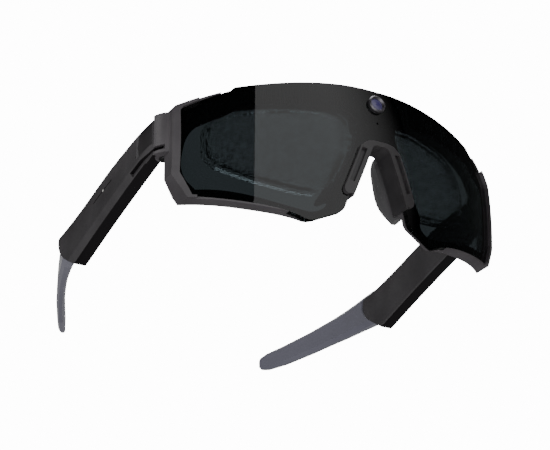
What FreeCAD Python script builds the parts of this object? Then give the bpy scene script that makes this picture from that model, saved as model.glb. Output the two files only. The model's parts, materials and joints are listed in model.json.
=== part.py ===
import FreeCAD, Part
import math
import os
import Sketcher
from FreeCAD import Placement, Rotation, Vector

# Smart glasses with one wraparound lens and a camera over the nose.
# The model is drawn upright: X to the wearer's left, Y to the rear, Z up, with the origin on the
# front of the lens at the camera's centre. At the end every sub-part is set down on a table.

SIZES = {
    # lens: a curved plate, round about a vertical axis and round up and down
    "lens_radius_across": 92.6,
    "lens_radius_up": 166.6,
    "lens_apex_height": -18.3,
    "lens_thick": 2.0,
    "border_thick": 0.3,
    # main frame behind the lens
    "frame_front": 2.4,
    "frame_rear": 6.3,
    "frame_lip": 0.3,
    "frame_reach": 31.6,
    "rim_proud": 1.5,
    "rim_start": 60.0,
    "low_edge_rear": 4.0,
    "lens_gap": 0.12,
    "window_margin": 0.8,
    # camera over the nose
    "camera_tilt": 83.7,
    "camera_hole": 3.45,
    "barrel_hole": 2.4,
    "bezel_radius": 3.4,
    "bezel_bore": 2.3,
    "bezel_proud": 1.5,
    "barrel_radius": 2.15,
    "board_side": 8.4,
    "cover_width": 13.0,
    "cover_height": 12.4,
    "microphone_drop": 7.5,
    "microphone_hole": 0.45,
    # prescription insert behind the frame
    "insert_front": 8.4,
    "insert_rear": 11.0,
    "insert_rim": 1.7,
    # hinge
    "hinge_across": 66.2,
    "hinge_rear": 33.5,
    "hinge_top": -7.6,
    "hinge_bottom": -22.0,
    "knuckle_top": -9.9,
    "knuckle_bottom": -18.9,
    "knuckle_radius": 3.3,
    "lug_gap": 0.3,
    "pin_radius": 1.1,
    "pin_running_gap": 0.05,
    "cap_radius": 2.7,
    "cap_gap": 0.1,
    # temple
    "temple_inner": 65.0,
    "temple_outer": 71.2,
    "cover_thick": 1.5,
    "wall_thick": 1.4,
    "bevel_height": 3.2,
    "bevel_width": 1.1,
    "core_radius": 0.9,
    # capture button on top of the right temple
    "button_length": 11.0,
    "button_width": 2.2,
    "button_gap": 0.15,
    "button_height": 1.05,
    "button_foot": -9.3,
    "button_middle": 44.6,
    # how the glasses rest on a table, in degrees
    "rest_pitch": -3.65,
}

doc = FreeCAD.newDocument("SmartGlasses")
sheet = doc.addObject("Spreadsheet::Sheet", "Sizes")
for row, (word, number) in enumerate(SIZES.items(), start=1):
    sheet.set(f"A{row}", word)
    sheet.set(f"B{row}", str(number))
    sheet.setAlias(f"B{row}", word)
doc.recompute()

LEFT = "_left"
RIGHT = "_right"
nodes = {}


def size(word):
    """A driving dimension, read from the sheet."""
    return float(sheet.get(word))


def bind(thing, **properties):
    """Tie properties to the sheet: a word such as lens_thick becomes Sizes.lens_thick."""
    for name, formula in properties.items():
        words = formula.split()
        tied = [f"Sizes.{word}" if word in SIZES else word for word in words]
        thing.setExpression(name.replace("__", "."), " ".join(tied))


def keep(node, thing):
    """Name a finished sub-part. Its own placement later sets it down with the others."""
    part = doc.addObject("Part::Compound", "Node_" + node)
    part.Links = [thing]
    part.Label = node
    nodes[node] = part
    return thing


def mirror(node, source):
    """The same piece on the other side of the glasses."""
    twin = doc.addObject("Part::Mirroring", node + "Mirror")
    twin.Source = source
    twin.Normal = Vector(1, 0, 0)
    return twin


def keep_pair(name, left):
    """A piece for the wearer's left side and its twin for the right side."""
    keep(name + LEFT, left)
    keep(name + RIGHT, mirror(name, left))


# ---------------------------------------------------------------- outlines and solids

FRONT_VIEW = Rotation(Vector(1, 0, 0), 90)
SIDE_VIEW = Rotation(Vector(1, 1, 1), 120)


def fill_sketch(sketch, loops):
    """Draw closed loops. A run of two points is a line, a longer run is a smooth curve."""
    for loop in loops:
        edges = []
        for run in loop:
            ends = [Vector(a, b, 0) for a, b in run]
            if len(ends) == 2:
                edge = Part.LineSegment(*ends)
            else:
                edge = Part.BSplineCurve()
                edge.interpolate(ends)
            edges.append(sketch.addGeometry(edge, False))
        for here, there in zip(edges, edges[1:] + edges[:1]):
            sketch.addConstraint(Sketcher.Constraint("Coincident", here, 2, there, 1))


def draw(name, view, loops):
    """A sketch of closed loops in one view."""
    sketch = doc.addObject("Sketcher::SketchObject", name)
    sketch.Placement = Placement(Vector(), view)
    fill_sketch(sketch, loops)
    return sketch


def corners(*points):
    """A closed loop of straight lines."""
    return [[a, b] for a, b in zip(points, points[1:] + points[:1])]


def both_sides(half):
    """Close half an outline, which starts and ends at x = 0, with its mirror image."""
    other = [[(-a, b) for a, b in reversed(run)] for run in reversed(half)]
    return half + other


def flip(loop):
    """The mirror image of a closed loop."""
    return [[(-a, b) for a, b in reversed(run)] for run in reversed(loop)]


def grow(loop, amount):
    """The loop with its edge moved outwards, or inwards by a negative amount, at every point."""
    points = [Vector(a, b, 0) for run in loop for a, b in run[:-1]]
    count = len(points)
    area = sum(p.x * q.y - q.x * p.y for p, q in zip(points, points[1:] + points[:1]))
    outwards = amount if area > 0 else -amount
    moved = []
    for number, point in enumerate(points):
        before = (point - points[number - 1]).normalize()
        after = (points[(number + 1) % count] - point).normalize()
        middle = before + after
        normal = Vector(middle.y, -middle.x, 0)
        point = point + normal * (2 * outwards / middle.dot(middle))
        moved.append((point.x, point.y))
    runs = []
    start = 0
    for run in loop:
        end = start + len(run) - 1
        runs.append([moved[n % count] for n in range(start, end + 1)])
        start = end
    return runs


def extrude(name, sketch, direction, forward, backward="0"):
    """A straight prism on a sketch, from -backward to forward along the direction."""
    prism = doc.addObject("Part::Extrusion", name)
    prism.Base = sketch
    prism.DirMode = "Custom"
    prism.Dir = direction
    prism.Solid = True
    prism.FaceMakerClass = "Part::FaceMakerBullseye"
    bind(prism, LengthFwd=forward, LengthRev=backward)
    return prism


def through(name, sketch):
    """A prism that runs front to back through the whole front of the glasses."""
    return extrude(name, sketch, Vector(0, 1, 0), "60", "12")


def curved_plate(name, front, rear):
    """The space between two surfaces that lie front and rear millimetres behind the lens face."""
    radius = size("lens_radius_up")
    apex = size("lens_apex_height")
    centre = math.sqrt(radius**2 - apex**2)
    profile = doc.addObject("Sketcher::SketchObject", name + "Profile")
    profile.Placement = Placement(Vector(), SIDE_VIEW)
    spread = math.radians(16)
    middle = Vector(centre, apex, 0)
    ends = []
    for depth in (front, rear):
        circle = Part.Circle(middle, Vector(0, 0, 1), radius - depth)
        arc = Part.ArcOfCircle(circle, math.pi - spread, math.pi + spread)
        profile.addGeometry(arc, False)
        ends.append((arc.StartPoint, arc.EndPoint))
    profile.addGeometry(Part.LineSegment(ends[0][0], ends[1][0]), False)
    profile.addGeometry(Part.LineSegment(ends[0][1], ends[1][1]), False)
    for line, end in ((2, 1), (3, 2)):
        profile.addConstraint(Sketcher.Constraint("Coincident", line, 1, 0, end))
        profile.addConstraint(Sketcher.Constraint("Coincident", line, 2, 1, end))
    plate = doc.addObject("Part::Revolution", name)
    plate.Source = profile
    plate.Axis = Vector(0, 0, 1)
    plate.Angle = 110
    plate.Symmetric = True
    plate.Solid = True
    bind(plate, Base__y="lens_radius_across")
    return plate


def common(name, first, second):
    piece = doc.addObject("Part::Common", name)
    piece.Base = first
    piece.Tool = second
    return piece


def cut(name, first, second):
    piece = doc.addObject("Part::Cut", name)
    piece.Base = first
    piece.Tool = second
    return piece


def join(name, *pieces):
    whole = doc.addObject("Part::MultiFuse", name)
    whole.Shapes = list(pieces)
    whole.Refine = True
    return whole


def cylinder(name, radius, length, placement=Placement()):
    rod = doc.addObject("Part::Cylinder", name)
    rod.Placement = placement
    bind(rod, Radius=radius, Height=length)
    return rod


def block(name, low, sides, placement=Placement()):
    """A box from its lowest corner, in the frame that the placement gives."""
    box = doc.addObject("Part::Box", name)
    box.Length, box.Width, box.Height = sides
    box.Placement = placement.multiply(Placement(Vector(*low), Rotation()))
    return box


def turned(name, profile, placement=Placement()):
    """A body turned about its own Z axis from a profile of (radius, height) corners."""
    body = doc.addObject("PartDesign::Body", name)
    sketch = body.newObject("Sketcher::SketchObject", name + "Sketch")
    plane = [p for p in body.Origin.OriginFeatures if p.Role == "XZ_Plane"][0]
    sketch.AttachmentSupport = [(plane, "")]
    sketch.MapMode = "FlatFace"
    count = len(profile)
    for here, there in zip(profile, profile[1:] + profile[:1]):
        sketch.addGeometry(Part.LineSegment(Vector(*here, 0), Vector(*there, 0)), False)
    for edge in range(count):
        sketch.addConstraint(Sketcher.Constraint("Coincident", edge, 2, (edge + 1) % count, 1))
    turn = body.newObject("PartDesign::Revolution", name + "Turn")
    turn.Profile = sketch
    turn.ReferenceAxis = (sketch, ["V_Axis"])
    turn.Angle = 360
    body.Tip = turn
    body.Placement = placement
    return body


def padded(name, view, height, loops, length):
    """A PartDesign body: one pad on one sketch, at a height along the view's normal."""
    role = {"front": "XZ_Plane", "side": "YZ_Plane", "plan": "XY_Plane"}[view]
    body = doc.addObject("PartDesign::Body", name)
    sketch = body.newObject("Sketcher::SketchObject", name + "Sketch")
    plane = [p for p in body.Origin.OriginFeatures if p.Role == role][0]
    sketch.AttachmentSupport = [(plane, "")]
    sketch.MapMode = "FlatFace"
    bind(sketch, AttachmentOffset__Base__z=height)
    fill_sketch(sketch, loops)
    pad = body.newObject("PartDesign::Pad", name + "Pad")
    pad.Profile = sketch
    bind(pad, Length=length)
    body.Tip = pad
    return body


def dress_edges(body, kind, name, wanted):
    """Add a fillet or a chamfer on the edges of a body that the test picks."""
    doc.recompute()
    base = body.Tip
    picked = [f"Edge{n}" for n, edge in enumerate(base.Shape.Edges, 1) if wanted(edge)]
    dress = body.newObject("PartDesign::" + kind, name)
    dress.Base = (base, picked)
    body.Tip = dress
    return dress


def round_edges(body, name, radius, wanted):
    dress_edges(body, "Fillet", name, wanted).Radius = radius


# ---------------------------------------------------------------- outlines of the front

LENS_HALF = [
    [(0, 6.0), (21, 5.2), (38, 3.0), (49, 1.3)],
    [(49, 1.3), (50.4, -0.1)],
    [(50.4, -0.1), (57.4, -2.9), (64.2, -5.9)],
    [(64.2, -5.9), (65, -7.2)],
    [(65, -7.2), (65, -31)],
    [(65, -31), (61.3, -39.5)],
    [(61.3, -39.5), (51.7, -41.4), (41, -43.4), (33, -45.2), (27.5, -47.1)],
    [(27.5, -47.1), (25.5, -47.8), (23.4, -47.5)],
    [(23.4, -47.5), (15, -44.0)],
    [(15, -44.0), (13.4, -42.6), (12.8, -41)],
    [(12.8, -41), (4.4, -18.6)],
    [(4.4, -18.6), (3.2, -16.9), (0, -16.5)],
]

WINDOW = [
    [(12.2, -4.6), (28.7, -5.0), (43, -6.1), (47, -6.6)],
    [(47, -6.6), (51, -9.2), (54.9, -10.9), (58.6, -12.8)],
    [(58.6, -12.8), (61.6, -16.6), (62.9, -22.5), (63, -28.6), (61.4, -33.4)],
    [(61.4, -33.4), (59, -36.7)],
    [(59, -36.7), (43.2, -39.7), (31, -43.1), (25.8, -44.2)],
    [(25.8, -44.2), (23.6, -44.3), (19.9, -42.7)],
    [(19.9, -42.7), (18.9, -41.2), (19.0, -38.9)],
    [(19.0, -38.9), (12.5, -26), (9.2, -17.5), (7.9, -12.0)],
    [(7.9, -12.0), (8.2, -8.6), (9.6, -6.0), (12.2, -4.6)],
]

FRAME_HALF = [
    [(0, 4.4), (21, 3.6), (38, 1.4), (50.6, -1.0)],
    [(50.6, -1.0), (52.4, -1.9)],
    [(52.4, -1.9), (53.3, -0.7)],
    [(53.3, -0.7), (60.4, -2.9), (66.4, -5.0)],
    [(66.4, -5.0), (67.3, -6.2)],
    [(67.3, -6.2), (67.3, -31.4)],
    [(67.3, -31.4), (62.6, -40.4)],
    [(62.6, -40.4), (52.0, -42.0), (41.2, -44.0), (33, -45.4), (27.3, -46.7)],
    [(27.3, -46.7), (25.2, -47.2), (23.2, -46.9)],
    [(23.2, -46.9), (15, -43.4)],
    [(15, -43.4), (13.4, -42.2), (12.8, -41)],
    [(12.8, -41), (4.4, -18.6)],
    [(4.4, -18.6), (3.2, -16.9), (0, -16.5)],
]

# the trim over the nose is an upside-down V in front of the lens's notch
TRIM_OUTER_HALF = [
    [(0, -15.7), (3.5, -15.8), (5.4, -16.2)],
    [(5.4, -16.2), (8, -18.5)],
    [(8, -18.5), (14.2, -34.8)],
    [(14.2, -34.8), (13.6, -36.9), (10.9, -37.1)],
    [(10.9, -37.1), (3.9, -18.6)],
    [(3.9, -18.6), (2.9, -17.3), (0, -17.0)],
]

TRIM_INNER_HALF = [
    [(0, -16.65), (3.1, -17.0), (4.25, -18.65)],
    [(4.25, -18.65), (11.5, -38.0)],
    [(11.5, -38.0), (10.8, -38.1)],
    [(10.8, -38.1), (3.6, -18.9)],
    [(3.6, -18.9), (2.7, -17.8), (0, -17.5)],
]

INSERT_RIM = [
    [(9.4, -3.2), (16, -1.5), (31.4, -2.2), (43.4, -3.6), (50.6, -6.6)],
    [(50.6, -6.6), (53.2, -9.2), (54.1, -15.2), (53.4, -21.4), (50.2, -25.6)],
    [(50.2, -25.6), (38.4, -31.3), (24, -34.6), (19.4, -34.9)],
    [(19.4, -34.9), (15.6, -31.6), (11.2, -25.2), (7.9, -16.5)],
    [(7.9, -16.5), (6.9, -10.4), (7.4, -5.8), (9.4, -3.2)],
]


# ---------------------------------------------------------------- lens and frame

lens_sketch = draw("LensOutline", FRONT_VIEW, [both_sides(LENS_HALF)])
window_sketch = draw("WindowOutline", FRONT_VIEW, [WINDOW, flip(WINDOW)])
frame_sketch = draw("FrameOutline", FRONT_VIEW, [both_sides(FRAME_HALF)])

camera_place = Placement(Vector(), Rotation(Vector(1, 0, 0), size("camera_tilt")))
microphone_centre = camera_place.multVec(Vector(0, -size("microphone_drop"), 0))
microphone_place = Placement(microphone_centre, camera_place.Rotation)
camera_axis_back = Placement(Vector(0, 0, -20), Rotation())


def drilled(name, piece, camera_radius, microphone_radius):
    """Cut the camera's and the microphone's holes through a plate."""
    hole = cylinder(name + "CameraHole", camera_radius, "40", camera_place.multiply(camera_axis_back))
    small = cylinder(
        name + "SoundHole", microphone_radius, "40", microphone_place.multiply(camera_axis_back)
    )
    return cut(name, piece, join(name + "Holes", hole, small))


lens_blank = common(
    "LensBlank",
    curved_plate("LensCurve", 0, size("lens_thick")),
    through("LensPrism", lens_sketch),
)
keep("shield_lens", drilled("ShieldLens", lens_blank, "camera_hole", "microphone_hole"))

# the dark border is a thin film on the back of the lens, open at the two windows
border_blank = common(
    "BorderBlank",
    curved_plate("BorderCurve", size("lens_thick"), size("lens_thick") + size("border_thick")),
    through("BorderPrism", lens_sketch),
)
border_open = cut("BorderOpen", border_blank, through("WindowPrism", window_sketch))
keep("lens_border", drilled("LensBorder", border_open, "camera_hole", "microphone_hole"))

# the frame: a curved plate as deep as the lip and the part behind the lens together,
# with the lens's bed and the two openings taken out of it
frame_blank = common(
    "FrameBlank",
    curved_plate("FrameCurve", -size("frame_lip"), size("frame_rear")),
    through("FramePrism", frame_sketch),
)
lens_bed = common(
    "LensBed",
    curved_plate("BedCurve", -4, size("frame_front")),
    through("BedPrism", draw("BedOutline", FRONT_VIEW, [grow(both_sides(LENS_HALF), size("lens_gap"))])),
)
opening = grow(WINDOW, size("window_margin"))
openings = through("OpeningPrism", draw("OpeningOutline", FRONT_VIEW, [opening, flip(opening)]))
behind = block("BehindPosts", (-90, size("frame_reach"), -60), (180, 40, 80))

# at each end of the lens the frame stands up in front of it as a rim
rim_blank = common(
    "RimBlank",
    curved_plate("RimCurve", -size("rim_proud"), size("frame_rear")),
    through("RimBandPrism", frame_sketch),
)
rim_start = size("rim_start")
rim = cut("Rim", rim_blank, block("BetweenRims", (-rim_start, -20, -60), (2 * rim_start, 80, 80)))

# the frame is thinner along its low edge
LOW_EDGE = corners(
    (11, -37.5), (19.2, -39.5), (38, -41.5), (52, -38), (60.6, -34.6), (72, -29), (72, -60), (11, -60)
)
low_edges = common(
    "LowEdges",
    curved_plate("LowEdgeCurve", size("low_edge_rear"), 12),
    through("LowEdgePrism", draw("LowEdgeOutline", FRONT_VIEW, [LOW_EDGE, flip(LOW_EDGE)])),
)
frame_band = cut("FrameBand", join("FrameAndRim", frame_blank, rim), join("Behind", behind, low_edges))

# end piece and hinge lugs, drawn in plan: the outer side sweeps from the rim back to the hinge
END_PIECE_PLAN = [
    [(66.9, 27.6), (68.6, 28.6), (70.1, 30.5), (70.9, 32.9)],
    [(70.9, 32.9), (66.2, 32.9)],
    [(66.2, 32.9), (63.2, 30.6)],
    [(63.2, 30.6), (64.6, 28.6)],
    [(64.6, 28.6), (66.9, 27.6)],
]
hinge_axis = Vector(size("hinge_across"), size("hinge_rear"), 0)


def on_hinge(height):
    """A place on the left hinge's axis."""
    return Placement(hinge_axis + Vector(0, 0, height), Rotation())


end_piece = padded("EndPiece", "plan", "hinge_bottom", [END_PIECE_PLAN], "hinge_top - hinge_bottom + 0.8")
lugs = cylinder("Lugs", "knuckle_radius", "hinge_top - hinge_bottom", on_hinge(size("hinge_bottom")))
knuckle_room = cylinder(
    "KnuckleRoom",
    "knuckle_radius + lug_gap",
    "knuckle_top - knuckle_bottom + 2 * lug_gap",
    on_hinge(size("knuckle_bottom") - size("lug_gap")),
)
lug_bore = cylinder("LugBore", "pin_radius", "40", on_hinge(-40))
# a groove parts the arm from the lower lug on the outer side
lug_groove = block("LugGroove", (67.9, 28.6, -20.9), (6, 10, 1.8))
end_solid = cut("EndSolid", join("EndJoined", end_piece, lugs), lug_groove)
cap_seat = cylinder("CapSeat", "cap_radius + cap_gap", "5", on_hinge(size("hinge_top")))
hinge_tools = join("HingeTools", knuckle_room, lug_bore, cap_seat)
frame_whole = join("FrameWhole", frame_band, end_solid, mirror("EndSolid", end_solid))
frame_tools = join("FrameTools", lens_bed, openings, hinge_tools, mirror("HingeTools", hinge_tools))
frame_open = cut("FrameOpen", frame_whole, frame_tools)
keep("main_frame", drilled("MainFrame", frame_open, "barrel_hole", "microphone_hole"))

# ---------------------------------------------------------------- nose trim, carriers and pads

trim_face = common(
    "TrimFace",
    curved_plate("TrimFaceCurve", -1.5, 0),
    through("TrimFacePrism", draw("TrimFaceOutline", FRONT_VIEW, [both_sides(TRIM_OUTER_HALF)])),
)
trim_lip = common(
    "TrimLip",
    curved_plate("TrimLipCurve", -1.5, 7.0),
    through("TrimLipPrism", draw("TrimLipOutline", FRONT_VIEW, [both_sides(TRIM_INNER_HALF)])),
)
# each leg of the trim is a channel: a sunk strip lies between two raised edges
TRIM_CHANNEL = corners((5.6, -19.4), (7.5, -19.0), (12.4, -32.2), (10.7, -32.9))
channel = common(
    "TrimChannel",
    curved_plate("ChannelCurve", -3, -0.2),
    through("ChannelPrism", draw("ChannelOutline", FRONT_VIEW, [TRIM_CHANNEL, flip(TRIM_CHANNEL)])),
)
keep("nose_trim", cut("NoseTrim", join("TrimJoined", trim_face, trim_lip), channel))

PAD_SECTIONS = [
    # across, rear, height, half depth, half thickness, turn about Z
    (6.0, 11.0, -15.8, 2.4, 0.8, 74),
    (6.8, 11.6, -17.8, 3.6, 1.2, 78),
    (8.6, 12.2, -23.0, 4.2, 1.4, 84),
    (11.0, 12.9, -28.6, 4.7, 1.5, 88),
    (13.6, 13.4, -32.8, 4.2, 1.4, 86),
    (15.8, 13.4, -36.4, 2.9, 1.0, 82),
]


def loft(name, sections, ruled=False):
    """A solid through closed sections, which runs smoothly, or straight from each to the next."""
    solid = doc.addObject("Part::Loft", name)
    solid.Sections = sections
    solid.Solid = True
    solid.Ruled = ruled
    return solid


def bevelled(half_height, half_width):
    """A flat bar's section, wider than high or higher than wide, with a bevel at each corner."""
    across = 0.45 * half_width
    up = 0.72 * half_height
    return corners(
        (across, half_height),
        (half_width, up),
        (half_width, -up),
        (across, -half_height),
        (-across, -half_height),
        (-half_width, -up),
        (-half_width, up),
        (-across, half_height),
    )


pad_rings = []
for number, (x, y, z, depth, thick, turn) in enumerate(PAD_SECTIONS):
    ring = draw(f"PadRing{number}", Rotation(), [bevelled(thick, depth)])
    ring.Placement = Placement(Vector(x, y, z), Rotation(Vector(0, 0, 1), turn))
    pad_rings.append(ring)
pad_solid = loft("PadLoft", pad_rings)
CARRIER = corners((5.2, -18.2), (7.6, -18.2), (14.6, -35.0), (12.4, -35.0))
carrier_bar = common(
    "CarrierBar",
    curved_plate("CarrierCurve", size("frame_rear"), 11.0),
    through("CarrierPrism", draw("CarrierOutline", FRONT_VIEW, [CARRIER])),
)
keep_pair("pad_carrier", carrier_bar)
keep_pair("nose_pad", cut("NosePad", pad_solid, carrier_bar))

# ---------------------------------------------------------------- camera over the nose


def on_camera(x=0.0, y=0.0, z=0.0):
    """A place in the camera's own frame, whose Z axis points forwards out of the lens."""
    return camera_place.multiply(Placement(Vector(x, y, z), Rotation()))


bezel, bore, proud = size("bezel_radius"), size("bezel_bore"), size("bezel_proud")
keep(
    "camera_bezel",
    turned(
        "CameraBezel",
        [
            (bore, -2.3),
            (bezel, -2.3),
            (bezel, proud - 0.4),
            (bezel - 0.4, proud),
            (bore + 0.5, proud),
            (bore, proud - 0.7),
        ],
        on_camera(),
    ),
)
window_profile = [(0, 0.1), (bore, 0.1), (bore, 0.6), (0, 0.75)]
keep("camera_window", turned("CameraWindow", window_profile, on_camera()))
barrel = size("barrel_radius")
keep(
    "camera_barrel",
    turned(
        "CameraBarrel",
        [(1.0, -5.8), (barrel, -5.8), (barrel, 0.05), (1.6, 0.05), (1.6, -1.0), (1.0, -1.6)],
        on_camera(),
    ),
)
lens_profile = [(0, -0.9), (1.58, -0.9), (1.58, -0.6), (0.9, -0.2), (0, -0.05)]
keep("camera_lens", turned("CameraLens", lens_profile, on_camera()))
keep("image_sensor", block("ImageSensor", (-1.5, -1.5, -6.3), (3.0, 3.0, 0.45), on_camera()))
board_side = size("board_side")
board_low = (-board_side / 2, -board_side / 2 + 0.4, -7.7)
board_sides = (board_side, board_side - 0.8, 0.9)
keep("camera_board", block("CameraBoard", board_low, board_sides, on_camera()))
keep("front_microphone", block("FrontMicrophone", (-1.4, -8.2, -7.4), (2.8, 1.9, 0.8), on_camera()))

cover_width, cover_height = size("cover_width"), size("cover_height")
cover_box = block(
    "CoverBox",
    (-cover_width / 2, -cover_height / 2 - 3.1, -9.4),
    (cover_width, cover_height + 3.1, 2.4),
    on_camera(),
)
cover_round = doc.addObject("Part::Fillet", "CoverRound")
doc.recompute()
cover_round.Base = cover_box
cover_axis = camera_place.Rotation.multVec(Vector(0, 0, 1))


def runs_along(edge, direction):
    """True for a straight edge that runs along the direction."""
    span = edge.Vertexes[-1].Point - edge.Vertexes[0].Point
    return abs(abs(span.normalize().dot(direction)) - 1) < 0.001


standing = [n for n, edge in enumerate(cover_box.Shape.Edges, 1) if runs_along(edge, cover_axis)]
cover_round.Edges = [(n, 2.2, 2.2) for n in standing]
cover_room = block(
    "CoverRoom",
    (-cover_width / 2 + 1, -cover_height / 2 - 2.1, -8.4),
    (cover_width - 2, cover_height + 1.1, 4),
    on_camera(),
)
keep("camera_cover", cut("CameraCover", cover_round, cover_room))

# ---------------------------------------------------------------- brow covers and flexible circuit

FLEX_HALF = [
    [(0, 1.5), (30, 0.8), (50, -2.2)],
    [(50, -2.2), (50, -3.9)],
    [(50, -3.9), (30, -1.0), (0, -0.4)],
]
keep(
    "front_flex",
    common(
        "FrontFlex",
        curved_plate("FlexCurve", size("frame_rear") + 0.05, size("frame_rear") + 0.25),
        through("FlexPrism", draw("FlexOutline", FRONT_VIEW, [both_sides(FLEX_HALF)])),
    ),
)
BROW_COVER = [
    [(7.2, 3.9), (30, 2.4), (52.6, -1.6)],
    [(52.6, -1.6), (52.6, -4.9)],
    [(52.6, -4.9), (30, -2.9), (7.2, -2.3)],
    [(7.2, -2.3), (7.2, 3.9)],
]
keep_pair(
    "brow_cover",
    common(
        "BrowCover",
        curved_plate("BrowCurve", size("frame_rear") + 0.4, size("frame_rear") + 1.4),
        through("BrowPrism", draw("BrowOutline", FRONT_VIEW, [BROW_COVER])),
    ),
)

# ---------------------------------------------------------------- prescription insert

insert_sketch = draw("InsertOutline", FRONT_VIEW, [INSERT_RIM])
insert_hole = draw("InsertHole", FRONT_VIEW, [grow(INSERT_RIM, -size("insert_rim"))])
rim_ring = cut("RimRing", through("RimPrism", insert_sketch), through("RimHolePrism", insert_hole))
BRIDGE = corners((-8.3, -11.4), (8.3, -11.4), (8.6, -14.6), (-8.6, -14.6))
insert_bridge = through("InsertBridgePrism", draw("InsertBridge", FRONT_VIEW, [BRIDGE]))
insert_band = join("InsertBand", rim_ring, mirror("RimRing", rim_ring), insert_bridge)
insert_plate = curved_plate("InsertCurve", size("insert_front"), size("insert_rear"))
keep("insert_frame", common("InsertFrame", insert_plate, insert_band))
keep_pair(
    "insert_lens",
    common(
        "InsertLens",
        curved_plate("InsertLensCurve", size("insert_front") + 0.5, size("insert_rear") - 0.5),
        through("InsertLensPrism", insert_hole),
    ),
)

# ---------------------------------------------------------------- hinge pin and leaf

pin = size("pin_radius")
pin_length = size("hinge_top") - size("hinge_bottom") - 0.4
keep_pair(
    "hinge_screw",
    turned(
        "HingeScrew",
        [(0, -0.7), (1.7, -0.7), (1.9, -0.5), (1.9, 0), (pin, 0), (pin, pin_length), (0, pin_length)],
        on_hinge(size("hinge_bottom")),
    ),
)

# a cap closes the screw's bore on top of the hinge
cap = size("cap_radius")
cap_profile = [(0, 0), (cap, 0), (cap, 0.3), (cap - 0.3, 0.6), (0, 0.6)]
keep_pair("hinge_cap", turned("HingeCap", cap_profile, on_hinge(size("hinge_top"))))

knuckle = cylinder(
    "Knuckle", "knuckle_radius", "knuckle_top - knuckle_bottom", on_hinge(size("knuckle_bottom"))
)
web_height = size("knuckle_top") - size("knuckle_bottom")
web = block("LeafWeb", (66.6, 33.5, size("knuckle_bottom")), (1.8, 13.4, web_height))
knuckle_bore = cylinder("KnuckleBore", "pin_radius + pin_running_gap", "40", on_hinge(-40))
lying = Rotation(Vector(0, 1, 0), 90)


def leaf_rods(name, across, radius, length):
    """Two rods, one above the other, where the leaf's screws go. They start this far across."""
    upper = cylinder(name + "Upper", radius, length, Placement(Vector(across, 43.6, -12.4), lying))
    lower = cylinder(name + "Lower", radius, length, Placement(Vector(across, 43.6, -16.6), lying))
    return join(name, upper, lower)


leaf_tools = join("LeafTools", knuckle_bore, leaf_rods("LeafHoles", 64, "0.7", "8"))
leaf = cut("HingeLeaf", join("LeafJoined", knuckle, web), leaf_tools)
keep_pair("hinge_leaf", leaf)
keep_pair("leaf_screws", leaf_rods("LeafScrews", 65.3, "0.7", "3.1"))

# ---------------------------------------------------------------- temple shell and cover

TEMPLE_TOP = [(37.3, -7.7), (45, -8.1), (57, -9.7), (70, -12.0), (85, -15.6), (98, -18.5), (112.6, -20.9)]
TEMPLE_END = [(112.6, -20.9), (113.4, -24.6), (110.6, -29.6), (106.0, -33.2)]
TEMPLE_HEEL = [(106.0, -33.2), (100.4, -36.9)]
TEMPLE_BOTTOM = [(98.2, -36.5), (70, -28.6), (37.3, -20.7)]
BOTTOM_SLOPE = 0.22


def temple_outline(front):
    """The temple from the side: (rear, height) runs, starting at the front."""
    top = [(front, TEMPLE_TOP[0][1])] + TEMPLE_TOP[1:]
    rear_of_front = TEMPLE_BOTTOM[-1][0] - front
    bottom = TEMPLE_BOTTOM[:-1] + [(front, TEMPLE_BOTTOM[-1][1] + BOTTOM_SLOPE * rear_of_front)]
    return [
        top,
        TEMPLE_END,
        TEMPLE_HEEL,
        [TEMPLE_HEEL[-1], TEMPLE_BOTTOM[0]],
        bottom,
        [bottom[-1], top[0]],
    ]


SHELL_FRONT = 33.4
COVER_FRONT = 37.3
outer = size("temple_outer")
inner = size("temple_inner")
shell = padded(
    "TempleShellBlank",
    "side",
    "temple_inner + cover_thick",
    [temple_outline(SHELL_FRONT)],
    "temple_outer - temple_inner - cover_thick",
)


def outer_bottom(edge):
    """The long lower edge of the temple's outer face."""
    middle = edge.CenterOfMass
    return middle.x > outer - 0.1 and edge.Length > 40 and middle.z < -22


def outer_top(edge):
    """The long upper edge of the temple's outer face."""
    middle = edge.CenterOfMass
    return middle.x > outer - 0.1 and edge.Length > 40 and middle.z > -22


bevel = dress_edges(shell, "Chamfer", "LowerBevel", outer_bottom)
bevel.ChamferType = "Two distances"
bind(bevel, Size="bevel_width", Size2="bevel_height")
round_edges(shell, "UpperRound", 1.6, outer_top)

HOLLOW = [
    [(37.3, -9.6), (45, -9.9), (57, -11.4), (70, -13.6), (85, -17.2), (96, -19.8)],
    [(96, -19.8), (96, -32.6)],
    [(96, -32.6), (70, -25.4), (50, -20.4), (37.3, -17.8)],
    [(37.3, -17.8), (37.3, -9.6)],
]
hollow = padded(
    "TempleHollow", "side", "temple_inner", [HOLLOW], "temple_outer - temple_inner - wall_thick"
)

# a slot along the front of the lower bevel carries on the groove above the hinge's lower lug
SLOT = corners((32, -19.0), (43, -19.5), (51.2, -21.2), (50.2, -23.1), (43, -21.6), (32, -21.2))
slot_tool = padded("BevelSlot", "side", "temple_outer - 1.6", [SLOT], "4")
sound_port = cylinder("SoundPort", "0.5", "4", Placement(Vector(outer - 1, 46.9, -17), lying))
hinge_room = cylinder("HingeRoom", "knuckle_radius + 0.45", "60", on_hinge(-50))
leaf_room = block("LeafRoom", (66.4, 33.0, -19.2), (2.2, 14.2, 9.6))

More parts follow.
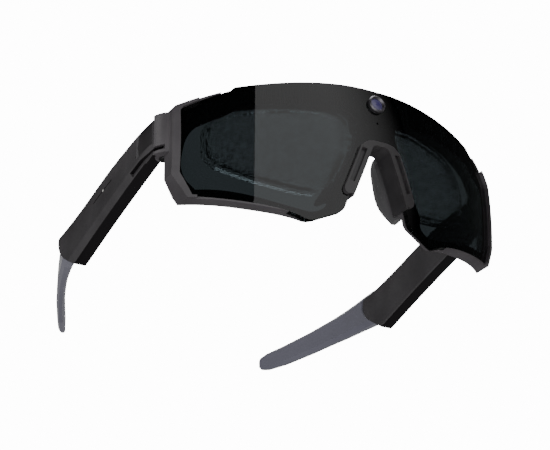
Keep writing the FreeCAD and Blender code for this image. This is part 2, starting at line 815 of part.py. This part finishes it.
TIP_SECTIONS = [
    # rear, across, height, half height, half thickness
    (97.0, 68.1, -25.6, 7.3, 2.7),
    (108.0, 67.9, -25.7, 7.2, 2.7),
    (113.0, 67.1, -26.2, 6.8, 2.5),
    (118.0, 65.8, -27.1, 6.3, 2.2),
    (124.0, 64.1, -28.2, 5.8, 2.0),
    (130.0, 62.0, -29.3, 5.3, 1.9),
    (142.0, 57.3, -31.6, 4.7, 1.8),
    (154.0, 51.7, -33.9, 4.2, 1.7),
    (162.0, 47.8, -34.9, 3.6, 1.6),
    (164.6, 46.5, -35.2, 2.8, 1.3),
    (165.4, 46.1, -35.3, 1.8, 0.9),
]
tip_rings = []
for number, (y, x, z, high, thick) in enumerate(TIP_SECTIONS):
    ring = draw(f"TipRing{number}", FRONT_VIEW, [bevelled(high, thick)])
    ring.Placement = Placement(Vector(x, y, z), FRONT_VIEW)
    tip_rings.append(ring)
tip_loft = loft("TipLoft", tip_rings, ruled=True)
# the core is a flat wire that runs through the front eight sections
upright_ellipse = FRONT_VIEW.multiply(Rotation(Vector(0, 0, 1), 90))
core_rings = []
for number, (y, x, z, high, thick) in enumerate(TIP_SECTIONS[:8]):
    ring = doc.addObject("Part::Ellipse", f"CoreRing{number}")
    ring.Placement = Placement(Vector(x, y, z), upright_ellipse)
    bind(ring, MajorRadius="core_radius * 1.6", MinorRadius="core_radius")
    core_rings.append(ring)
tip_core = loft("TipCore", core_rings, ruled=True)
shell_tools = join("ShellTools", hollow, hinge_room, leaf_room, tip_core, slot_tool, sound_port)
shell_solid = cut("TempleShell", shell, shell_tools)

cover_blank = padded(
    "TempleCoverBlank", "side", "temple_inner", [temple_outline(COVER_FRONT)], "cover_thick"
)


def inner_rim(edge):
    """The edges round the temple's inner face, but not its upright front edge."""
    middle = edge.CenterOfMass
    return abs(middle.x - inner) < 0.01 and middle.y > 38


round_edges(cover_blank, "CoverRound", 0.7, inner_rim)
cover_tools = join("CoverTools", leaf_rods("CoverHoles", 64, "0.75", "8"), tip_core)
keep_pair("temple_cover", cut("TempleCover", cover_blank, cover_tools))

temple_plate = padded(
    "TempleEnvelope",
    "side",
    "temple_inner - 2",
    [temple_outline(COVER_FRONT)],
    "temple_outer - temple_inner + 4",
)
tip_outside = cut("TipOutside", tip_loft, temple_plate)
keep_pair("temple_tip", cut("TempleTip", tip_outside, tip_core))
keep_pair("tip_core", tip_core)

# a facet plate closes the hinge's outer side at the front of the temple
FACET = corners((33.6, -9.1), (44.2, -9.3), (45.4, -13.4), (44.4, -17.7), (33.6, -17.2))
facet_seat = padded("FacetSeat", "side", "temple_outer - 0.7", [FACET], "1.5")
keep_pair("hinge_facet", padded("FacetPlate", "side", "temple_outer - 0.7", [FACET], "0.4"))
# a ramp leads from the facet up to the temple's outer face
RAMP = corners(
    (outer - 0.3, 43.0), (outer - 0.3, 44.6), (outer + 0.1, 46.4), (outer + 1, 46.4), (outer + 1, 43.0)
)
ramp = padded("FacetRamp", "plan", "-17.9", [RAMP], "8.6")
shell_with_facet = cut("ShellFaceted", shell_solid, join("FacetTools", facet_seat, ramp))
left_shell = keep("temple_shell" + LEFT, shell_with_facet)

# ---------------------------------------------------------------- inside each temple

slope = Rotation(Vector(1, 0, 0), -13)


def in_temple(rear, height, across=0.0):
    """A place inside the temple, turned to follow its slope."""
    return Placement(Vector(across, rear, height), slope)


keep_pair("battery", block("Battery", (66.7, -13.5, -4.0), (2.2, 27, 8.0), in_temple(66, -18.2)))
keep_pair("speaker", block("Speaker", (66.7, -6, -4.6), (2.2, 12, 9.2), in_temple(87.6, -24.2)))
keep_pair("circuit_board", block("CircuitBoard", (69.0, -20, -4.0), (0.7, 40, 8.0), in_temple(71, -19.5)))

# ---------------------------------------------------------------- capture button, right temple

half_button = size("button_length") / 2
button_across = -(outer - 2.6)
gap = size("button_gap")


def stadium(half_length, half_width, centre):
    """A slot's outline: two straight sides and two round ends, in plan."""
    x, y = centre
    straight = half_length - half_width
    turns = [math.radians(angle) for angle in range(0, 181, 30)]
    rear = [(x + half_width * math.cos(a), y + straight + half_width * math.sin(a)) for a in turns]
    front = [(x - half_width * math.cos(a), y - straight - half_width * math.sin(a)) for a in turns]
    return [rear, [rear[-1], front[0]], front, [front[-1], rear[0]]]


button_centre = (button_across, size("button_middle"))
half_width = size("button_width") / 2
slot_outline = stadium(half_button + gap, half_width + gap, button_centre)
slot = padded("ButtonSlot", "plan", "-10.6", [slot_outline], "6")
button_outline = stadium(half_button, half_width, button_centre)
button = padded("CaptureButton", "plan", "button_foot", [button_outline], "button_height")


def button_crown(edge):
    """The edges round the top of the button."""
    return edge.CenterOfMass.z > size("button_foot") + size("button_height") - 0.01


round_edges(button, "ButtonRound", 0.3, button_crown)
keep("capture_button", button)
switch_front = size("button_middle") + 2.8
keep("button_switch", block("ButtonSwitch", (button_across - 0.9, switch_front, -11.6), (1.8, 2.2, 1.75)))
switch_room = block("SwitchRoom", (button_across - 1.1, switch_front - 0.2, -12.0), (2.2, 2.6, 1.8))

LIGHT = Placement(Vector(-outer, 73.6, -18.5), lying)
light_hole = cylinder("LightHole", "0.5", "3", LIGHT)
keep("status_light", cylinder("StatusLight", "0.48", "1.3", LIGHT))
# a fine line runs along the outer face, through the light
LINE = corners((66.4, -17.0), (73.6, -18.3), (82.0, -20.2), (82.0, -20.6), (73.6, -18.7), (66.4, -17.4))
line = mirror("TouchLine", padded("TouchLine", "side", "temple_outer - 0.25", [LINE], "1"))
right_tools = join("RightTools", slot, light_hole, switch_room, line)
keep("temple_shell" + RIGHT, cut("RightShell", mirror("TempleShell", left_shell), right_tools))

# ---------------------------------------------------------------- set it down on the table

doc.recompute()


def check(things):
    """Stop if anything failed to build: a recompute can leave it failed without raising."""
    failed = [t.Name for t in doc.Objects if "Invalid" in t.State or "Error" in t.State]
    if failed:
        raise RuntimeError(f"failed objects: {failed}")
    for node, thing in things.items():
        shape = thing.Shape
        if shape.isNull() or not shape.isValid() or not shape.Solids:
            raise RuntimeError(f"{node} is not a valid solid")


check(nodes)
pitch = Placement(Vector(), Rotation(Vector(1, 0, 0), size("rest_pitch")))
extent = FreeCAD.BoundBox()
for thing in nodes.values():
    turned_shape = thing.Shape.transformed(pitch.toMatrix())
    extent.add(turned_shape.optimalBoundingBox(True, False))
drop = Vector(-extent.Center.x, -extent.Center.y, -extent.ZMin)
stand = Placement(drop, Rotation()).multiply(pitch)
for thing in nodes.values():
    thing.Placement = stand
doc.recompute()
check(nodes)

os.makedirs("parts", exist_ok=True)
for node, thing in nodes.items():
    thing.Shape.exportStep(f"parts/{node}.step")
print(f"{len(nodes)} nodes, stand {stand}, size {extent}")
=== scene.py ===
import json
import math

import bpy
from mathutils import Matrix, Vector

# Smart glasses standing on a table, seen from in front, from the wearer's right and from below.
# Lengths are in metres, in the frame of the CAD: X to the wearer's left, Y rearwards, Z up.

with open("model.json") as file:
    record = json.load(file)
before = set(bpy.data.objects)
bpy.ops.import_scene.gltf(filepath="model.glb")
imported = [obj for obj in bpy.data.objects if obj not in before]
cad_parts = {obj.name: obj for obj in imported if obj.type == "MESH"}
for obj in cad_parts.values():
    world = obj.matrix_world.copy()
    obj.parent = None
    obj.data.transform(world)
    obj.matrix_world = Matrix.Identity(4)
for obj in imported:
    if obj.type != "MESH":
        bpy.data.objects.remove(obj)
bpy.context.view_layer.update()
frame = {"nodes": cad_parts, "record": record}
nodes = frame["nodes"]
scene = bpy.context.scene

# ---------------------------------------------------------------- camera

# The eye is lower than the table top. Its place is counted from the middle of the footprint.
EYE = Vector((-0.3160, -0.5718, -0.2277))
PICTURE_RIGHT = Vector((0.86797, -0.49621, 0.02012))
LOOK = Vector((0.45529, 0.81127, 0.36682))
# both in millimetres
FOCAL_LENGTH = 119.34
SENSOR_WIDTH = 36.0
NEAREST = 0.01
FURTHEST = 20.0


def make_camera():
    data = bpy.data.cameras.new("camera")
    data.lens = FOCAL_LENGTH
    data.sensor_width = SENSOR_WIDTH
    data.clip_start = NEAREST
    data.clip_end = FURTHEST
    camera = bpy.data.objects.new("camera", data)
    scene.collection.objects.link(camera)
    right = PICTURE_RIGHT.normalized()
    back = -LOOK.normalized()
    up = back.cross(right)
    turn = Matrix((right, up, back)).transposed().to_4x4()
    camera.matrix_world = Matrix.Translation(EYE) @ turn
    scene.camera = camera


make_camera()

# ---------------------------------------------------------------- shader helpers

BUMP_STRENGTH = 0.6


class Shader:
    """A material with one Principled shader, and short ways to add nodes to it."""

    def __init__(self, name):
        self.material = bpy.data.materials.new(name)
        self.material.use_nodes = True
        self.tree = self.material.node_tree
        self.surface = self.tree.nodes["Principled BSDF"]
        self.output = self.tree.nodes["Material Output"]
        self.place = self.add("ShaderNodeTexCoord").outputs["Object"]

    def add(self, kind, **settings):
        node = self.tree.nodes.new(kind)
        for key, value in settings.items():
            setattr(node, key, value)
        return node

    def link(self, source, target):
        self.tree.links.new(source, target)

    def noise(self, scale, detail=4.0, roughness=0.55, stretch=(1, 1, 1)):
        """Noise over the piece, with scale in features per metre."""
        mapping = self.add("ShaderNodeMapping")
        mapping.inputs["Scale"].default_value = stretch
        self.link(self.place, mapping.inputs["Vector"])
        texture = self.add("ShaderNodeTexNoise")
        texture.inputs["Scale"].default_value = scale
        texture.inputs["Detail"].default_value = detail
        texture.inputs["Roughness"].default_value = roughness
        self.link(mapping.outputs["Vector"], texture.inputs["Vector"])
        return texture.outputs["Fac"]

    def cells(self, scale):
        """Small rounded cells, as moulded texture has."""
        texture = self.add("ShaderNodeTexVoronoi")
        texture.inputs["Scale"].default_value = scale
        self.link(self.place, texture.inputs["Vector"])
        return texture.outputs["Distance"]

    def axis(self, vector, letter):
        """One part of a vector: X, Y or Z."""
        split = self.add("ShaderNodeSeparateXYZ")
        self.link(vector, split.inputs["Vector"])
        return split.outputs[letter]

    def spread(self, factor, low, high, start=0.3, end=0.7, curve="LINEAR"):
        """Map a factor from start..end to low..high."""
        node = self.add("ShaderNodeMapRange", interpolation_type=curve)
        node.inputs["From Min"].default_value = start
        node.inputs["From Max"].default_value = end
        node.inputs["To Min"].default_value = low
        node.inputs["To Max"].default_value = high
        self.link(factor, node.inputs["Value"])
        return node.outputs["Result"]

    def blend(self, factor, first, second):
        """Mix two colours by a factor. Each is a tuple or another node's output."""
        node = self.add("ShaderNodeMix", data_type="RGBA")
        self.link(factor, node.inputs["Factor"])
        for socket, value in ((node.inputs[6], first), (node.inputs[7], second)):
            if isinstance(value, tuple):
                socket.default_value = (*value, 1)
            else:
                self.link(value, socket)
        return node.outputs[2]

    def larger(self, first, second):
        """The larger of two factors."""
        node = self.add("ShaderNodeMath", operation="MAXIMUM")
        self.link(first, node.inputs[0])
        self.link(second, node.inputs[1])
        return node.outputs["Value"]

    def mix(self, factor, first, second):
        """Go from one whole shader to another by a factor."""
        node = self.add("ShaderNodeMixShader")
        self.link(factor, node.inputs["Fac"])
        self.link(first, node.inputs[1])
        self.link(second, node.inputs[2])
        return node.outputs["Shader"]

    def colour(self, factor, first, second):
        self.link(self.blend(factor, first, second), self.surface.inputs["Base Color"])

    def roughness(self, factor, low, high):
        self.link(self.spread(factor, low, high), self.surface.inputs["Roughness"])

    def bump(self, *layers):
        """Stack bump layers, each (height, depth in metres)."""
        normal = None
        for height, depth in layers:
            node = self.add("ShaderNodeBump")
            node.inputs["Strength"].default_value = BUMP_STRENGTH
            node.inputs["Distance"].default_value = depth
            self.link(height, node.inputs["Height"])
            if normal is not None:
                self.link(normal, node.inputs["Normal"])
            normal = node.outputs["Normal"]
        self.link(normal, self.surface.inputs["Normal"])

    def set(self, **values):
        """Set sockets of the Principled shader, with _ for the spaces in their names."""
        for key, value in values.items():
            self.surface.inputs[key.replace("_", " ")].default_value = value


def shade(colour, share):
    """A lighter colour where share is over 1, and a darker one where it's under."""
    return tuple(min(1.0, c * share) for c in colour)


# ---------------------------------------------------------------- materials
# Scales of noise and cells are in features per metre, and depths of bump in metres.


def moulded_plastic(name, colour, roughness=0.5):
    """Injection moulded plastic with a fine spark-eroded grain and slight handling wear."""
    shader = Shader(name)
    wear = shader.noise(60, 6)
    grit = shader.noise(4200, 2)
    speckle = shader.cells(1890)
    shader.colour(shader.spread(wear, 0, 1), shade(colour, 0.86), shade(colour, 1.22))
    shader.roughness(wear, roughness - 0.06, roughness + 0.08)
    shader.bump((grit, 0.00003), (speckle, 0.000018))
    return shader.material


def plastic_with_painted_shade_below(name, colour, below, roughness=0.5):
    """Moulded plastic whose downward faces are smoother, with painted shade on them: their
    colour is darker.
    """
    shader = Shader(name)
    normal = shader.add("ShaderNodeTexCoord").outputs["Normal"]
    # painted shade: faces turned downwards, found by their normal, get the darker colour below;
    # the same mask makes them smoother
    downward_shade_and_gloss = shader.spread(shader.axis(normal, "Z"), 1, 0, -0.86, -0.74)
    wear = shader.noise(60, 6)
    grit = shader.noise(4200, 2)
    speckle = shader.cells(1900)
    body = shader.blend(shader.spread(wear, 0, 1), shade(colour, 0.86), shade(colour, 1.2))
    shader.colour(downward_shade_and_gloss, body, below)
    gloss = shader.add("ShaderNodeMix")
    matte = shader.spread(wear, roughness - 0.06, roughness + 0.08)
    smooth = shader.spread(wear, 0.14, 0.2)
    shader.link(downward_shade_and_gloss, gloss.inputs["Factor"])
    shader.link(matte, gloss.inputs["A"])
    shader.link(smooth, gloss.inputs["B"])
    shader.link(gloss.outputs["Result"], shader.surface.inputs["Roughness"])
    shader.bump((grit, 0.00003), (speckle, 0.00002))
    return shader.material


def satin_plastic(name, colour):
    """Smooth moulded plastic, a little hazy."""
    shader = Shader(name)
    haze = shader.noise(90, 5)
    grit = shader.noise(2600, 3)
    shader.colour(shader.spread(haze, 0, 1), shade(colour, 0.8), shade(colour, 1.3))
    shader.roughness(haze, 0.3, 0.42)
    shader.bump((grit, 0.000012))
    return shader.material


def soft_rubber(name, colour):
    """Silicone rubber: matte, faintly dusty, with a very fine skin."""
    shader = Shader(name)
    cloud = shader.noise(45, 6)
    dust = shader.noise(1500, 5, 0.7)
    grain = shader.noise(5200, 2)
    body = shader.blend(shader.spread(cloud, 0, 1), shade(colour, 0.88), shade(colour, 1.12))
    shader.colour(shader.spread(dust, 0, 0.35, 0.55, 0.8), body, shade(colour, 1.6))
    shader.roughness(cloud, 0.62, 0.78)
    shader.bump((grain, 0.00003), (cloud, 0.00008))
    shader.set(Sheen_Weight=0.25, Sheen_Roughness=0.45)
    return shader.material


def tinted_lens(name, tint):
    """A smoke tinted shield with a hard coat. Faint wiping marks change its gloss."""
    shader = Shader(name)
    smear = shader.noise(35, 5, 0.6, (1, 1, 3))
    depth = shader.noise(14, 2)
    shader.colour(shader.spread(depth, 0, 1), shade(tint, 0.92), shade(tint, 1.08))
    shader.roughness(smear, 0.0, 0.012)
    shader.set(Transmission_Weight=1.0, IOR=1.5)
    return shader.material


def clear_plastic(name, colour, ior):
    """Clear moulded plastic or glass with faint smears: it shows mostly by its edges."""
    shader = Shader(name)
    smear = shader.noise(50, 4)
    shader.colour(shader.spread(smear, 0, 1), shade(colour, 0.97), shade(colour, 1.03))
    shader.roughness(smear, 0.0, 0.03)
    shader.set(Transmission_Weight=1.0, IOR=ior)
    return shader.material


def printed_black(name):
    """Screen-printed ink on the back of the lens: deep black with a faint dot screen."""
    shader = Shader(name)
    dots = shader.cells(2400)
    cloud = shader.noise(30, 3)
    thin, thick = (0.004, 0.0038, 0.0042), (0.0022, 0.0020, 0.0024)
    ink = shader.blend(shader.spread(cloud, 0, 1), thick, thin)
    shader.colour(shader.spread(dots, 0, 0.5, 0.1, 0.7), ink, (0.006, 0.006, 0.0065))
    shader.roughness(cloud, 0.35, 0.5)
    shader.bump((dots, 0.000006))
    return shader.material


def coated_glass(name, deep, edge):
    """Camera glass whose anti-reflection coating goes from violet to blue with the angle."""
    shader = Shader(name)
    facing = shader.add("ShaderNodeLayerWeight")
    facing.inputs["Blend"].default_value = 0.35
    cloud = shader.noise(900, 2)
    body = shader.blend(shader.spread(cloud, 0, 1), deep, shade(deep, 1.4))
    shader.colour(facing.outputs["Facing"], body, edge)
    shader.roughness(cloud, 0.02, 0.05)
    shader.set(IOR=1.7, Coat_Weight=1.0, Coat_Roughness=0.02)
    return shader.material


def machined_metal(name, colour, roughness=0.3):
    """Turned or milled metal: brushed streaks and small tarnish clouds."""
    shader = Shader(name)
    streak = shader.noise(900, 4, 0.6, (1, 1, 30))
    cloud = shader.noise(160, 5)
    shader.colour(shader.spread(cloud, 0, 1), shade(colour, 0.75), shade(colour, 1.1))
    shader.roughness(streak, roughness - 0.08, roughness + 0.14)
    shader.bump((streak, 0.00001))
    shader.set(Metallic=1.0)
    return shader.material


def solder_mask(name):
    """A green circuit board with faint copper tracks under the lacquer."""
    shader = Shader(name)
    tracks = shader.add("ShaderNodeTexBrick")
    tracks.inputs["Scale"].default_value = 420
    tracks.inputs["Mortar Size"].default_value = 0.08
    tracks.inputs["Color1"].default_value = (0.01, 0.09, 0.035, 1)
    tracks.inputs["Color2"].default_value = (0.012, 0.12, 0.05, 1)
    tracks.inputs["Mortar"].default_value = (0.03, 0.19, 0.07, 1)
    shader.link(shader.place, tracks.inputs["Vector"])
    cloud = shader.noise(300, 4)
    shader.colour(shader.spread(cloud, 0, 0.4), tracks.outputs["Color"], (0.02, 0.14, 0.06))
    shader.roughness(cloud, 0.22, 0.38)
    shader.bump((tracks.outputs["Fac"], 0.00003))
    return shader.material


def film(name, colour):
    """Flexible circuit film with fine copper lines along it."""
    shader = Shader(name)
    cloud = shader.noise(220, 5)
    lines = shader.add("ShaderNodeTexWave", wave_type="BANDS", bands_direction="Z")
    lines.inputs["Scale"].default_value = 700
    shader.link(shader.place, lines.inputs["Vector"])
    body = shader.blend(shader.spread(cloud, 0, 1), shade(colour, 0.7), shade(colour, 1.2))
    copper = (0.6, 0.35, 0.15)
    shader.colour(shader.spread(lines.outputs["Fac"], 0, 0.5, 0.6, 0.9), body, copper)
    shader.roughness(cloud, 0.25, 0.4)
    shader.bump((lines.outputs["Fac"], 0.00002))
    return shader.material


# the record's material slots, with the maker of each and what it's given after the name
FINISHES = {
    "frame_plastic": (moulded_plastic, (0.037, 0.034, 0.037), 0.44),
    # the shell's second colour is painted shade on its downward faces
    "shell_plastic": (plastic_with_painted_shade_below, (0.028, 0.026, 0.028), (0.004, 0.0035, 0.004)),
    "lens_tint": (tinted_lens, (0.0190, 0.0245, 0.0270)),
    "lens_print": (printed_black,),
    "trim_plastic": (satin_plastic, (0.017, 0.016, 0.017)),
    "facet_plastic": (satin_plastic, (0.018, 0.017, 0.018)),
    "pad_rubber": (soft_rubber, (0.02, 0.019, 0.021)),
    "tip_rubber": (soft_rubber, (0.062, 0.061, 0.082)),
    "bezel_metal": (machined_metal, (0.16, 0.155, 0.17), 0.32),
    "optic_glass": (coated_glass, (0.02, 0.013, 0.06), (0.055, 0.05, 0.17)),
    "barrel_plastic": (satin_plastic, (0.012, 0.012, 0.012)),
    "board_green": (solder_mask,),
    "sensor_chip": (satin_plastic, (0.03, 0.02, 0.06)),
    "can_metal": (machined_metal, (0.6, 0.58, 0.55), 0.25),
    "flex_film": (film, (0.35, 0.16, 0.03)),
    "insert_plastic": (clear_plastic, (0.86, 0.87, 0.87), 1.3),
    "insert_glass": (clear_plastic, (0.95, 0.96, 0.96), 1.15),
    "hinge_steel": (machined_metal, (0.07, 0.07, 0.072), 0.34),
    "core_steel": (machined_metal, (0.5, 0.5, 0.5), 0.28),
    "battery_foil": (machined_metal, (0.55, 0.55, 0.58), 0.38),
    "speaker_plastic": (moulded_plastic, (0.05, 0.05, 0.055)),
    "button_plastic": (satin_plastic, (0.012, 0.011, 0.012)),
    "light_plastic": (satin_plastic, (0.5, 0.5, 0.47)),
}

materials = {slot: make(slot, *values) for slot, (make, *values) in FINISHES.items()}

for part in frame["record"]["subparts"]:
    piece = nodes[part["node"]]
    piece.data.materials.clear()
    piece.data.materials.append(materials[part["material_slot"]])

# ---------------------------------------------------------------- stage: floor, room, lights

FLOOR_REACH = 1.5
FLOOR_COLOURS = ((0.84, 0.84, 0.85), (0.88, 0.88, 0.88))
# what the floor gives back to the glasses, in their reflections and as scattered light
FLOOR_GIVEN_BACK = (0.08, 0.08, 0.08, 1)

ROOM_COLOUR = (0.9, 0.92, 1.0, 1)
ROOM_STRENGTH = 0.07
WHITE = (1, 1, 1, 1)
# how bright the room is to other rays: reflected, through the lens, and straight to the eye
ROOM_TO_RAYS = (
    ("Is Glossy Ray", 0.015),
    ("Is Transmission Ray", 1.0),
    ("Is Camera Ray", 14.0),
)

# the panel that the lens reflects runs from one azimuth to the other
PANEL_SHARP_SIDE = -27.3
PANEL_SOFT_SIDE = 52
PANEL_DISTANCE = 1.3
PANEL_FOOT = 0.05
PANEL_TOP = 1.75
PANEL_STRENGTH = 1.2
# as shares of its width, from the sharp side
PANEL_FADE_FROM = 0.45
PANEL_FADE_TO = 1.0

LIGHTS_AIM = Vector((0, 0, 0.03))
LIGHTS = [
    # name, azimuth, elevation, distance, width, height, watts
    ("front_low", -42, -20, 1.2, 0.9, 0.6, 15),
    ("right_side", -98, 10, 1.2, 0.7, 0.8, 5),
    ("left_low", 70, -28, 1.2, 0.8, 0.7, 9),
    ("below", -20, -66, 1.1, 0.7, 0.7, 10),
    ("overhead", 150, 76, 1.2, 1.2, 1.2, 14),
]


def direction(azimuth, elevation=0):
    """The way to a place round the glasses. Azimuth 0 is in front, 90 on the wearer's left."""
    a, e = math.radians(azimuth), math.radians(elevation)
    return Vector((math.sin(a) * math.cos(e), -math.cos(a) * math.cos(e), math.sin(e)))


def stage_panel(name, corners, material):
    """One flat face of the stage."""
    mesh = bpy.data.meshes.new(name)
    mesh.from_pydata(corners, [], [(0, 1, 2, 3)])
    mesh.materials.append(material)
    panel = bpy.data.objects.new(name, mesh)
    scene.collection.objects.link(panel)


def make_floor():
    """A pale table top. It is one-sided, so that it hides the glasses neither from an eye below
    it nor from the lights there, and it throws little of its own light back up."""
    shader = Shader("pale_floor")
    cloud = shader.noise(6, 3)
    shader.colour(shader.spread(cloud, 0, 1), *FLOOR_COLOURS)
    shader.roughness(cloud, 0.6, 0.7)
    dark = shader.add("ShaderNodeBsdfDiffuse")
    dark.inputs["Color"].default_value = FLOOR_GIVEN_BACK
    clear = shader.add("ShaderNodeBsdfTransparent")
    below = shader.add("ShaderNodeNewGeometry").outputs["Backfacing"]
    path = shader.add("ShaderNodeLightPath").outputs
    bounced = shader.larger(path["Is Diffuse Ray"], path["Is Glossy Ray"])
    top = shader.mix(bounced, shader.surface.outputs["BSDF"], dark.outputs["BSDF"])
    passed = shader.larger(below, path["Is Shadow Ray"])
    whole = shader.mix(passed, top, clear.outputs["BSDF"])
    shader.link(whole, shader.output.inputs["Surface"])
    r = FLOOR_REACH
    stage_panel("floor", [(-r, -r, 0), (r, -r, 0), (r, r, 0), (-r, r, 0)], shader.material)


def make_world():
    """White behind the glasses. A dim even room lights them and shows in their reflections."""
    world = bpy.data.worlds.new("room")
    world.use_nodes = True
    tree = world.node_tree
    path = tree.nodes.new("ShaderNodeLightPath")
    room = tree.nodes["Background"]
    room.inputs["Color"].default_value = ROOM_COLOUR
    room.inputs["Strength"].default_value = ROOM_STRENGTH
    shown = room.outputs["Background"]
    for ray, strength in ROOM_TO_RAYS:
        bright = tree.nodes.new("ShaderNodeBackground")
        bright.inputs["Color"].default_value = WHITE
        bright.inputs["Strength"].default_value = strength
        mix = tree.nodes.new("ShaderNodeMixShader")
        tree.links.new(path.outputs[ray], mix.inputs["Fac"])
        tree.links.new(shown, mix.inputs[1])
        tree.links.new(bright.outputs["Background"], mix.inputs[2])
        shown = mix.outputs["Shader"]
    tree.links.new(shown, tree.nodes["World Output"].inputs["Surface"])
    scene.world = world


def make_reflector():
    """A tall soft panel that the lens reflects: sharp on one side, fading out on the other."""
    shader = Shader("reflector_glow")
    shader.tree.nodes.remove(shader.surface)
    place = shader.add("ShaderNodeTexCoord").outputs["Generated"]
    across = shader.axis(place, "X")
    fade = shader.spread(
        across, 0, PANEL_STRENGTH, PANEL_FADE_TO, PANEL_FADE_FROM, "SMOOTHSTEP"
    )
    glow = shader.add("ShaderNodeEmission")
    shader.link(fade, glow.inputs["Strength"])
    shader.link(glow.outputs["Emission"], shader.output.inputs["Surface"])
    near = direction(PANEL_SHARP_SIDE) * PANEL_DISTANCE
    far = direction(PANEL_SOFT_SIDE) * PANEL_DISTANCE
    foot = Vector((0, 0, PANEL_FOOT))
    top = Vector((0, 0, PANEL_TOP))
    stage_panel("reflector", [near + foot, far + foot, far + top, near + top], shader.material)


def soft_box(name, azimuth, elevation, distance, width, height, watts):
    """A soft light that faces the glasses."""
    way = direction(azimuth, elevation)
    data = bpy.data.lights.new(name, "AREA")
    data.shape = "RECTANGLE"
    data.size = width
    data.size_y = height
    data.energy = watts
    light = bpy.data.objects.new(name, data)
    light.location = LIGHTS_AIM + way * distance
    light.rotation_mode = "QUATERNION"
    light.rotation_quaternion = (-way).to_track_quat("-Z", "Y")
    scene.collection.objects.link(light)


make_floor()
make_world()
make_reflector()
for light in LIGHTS:
    soft_box(*light)
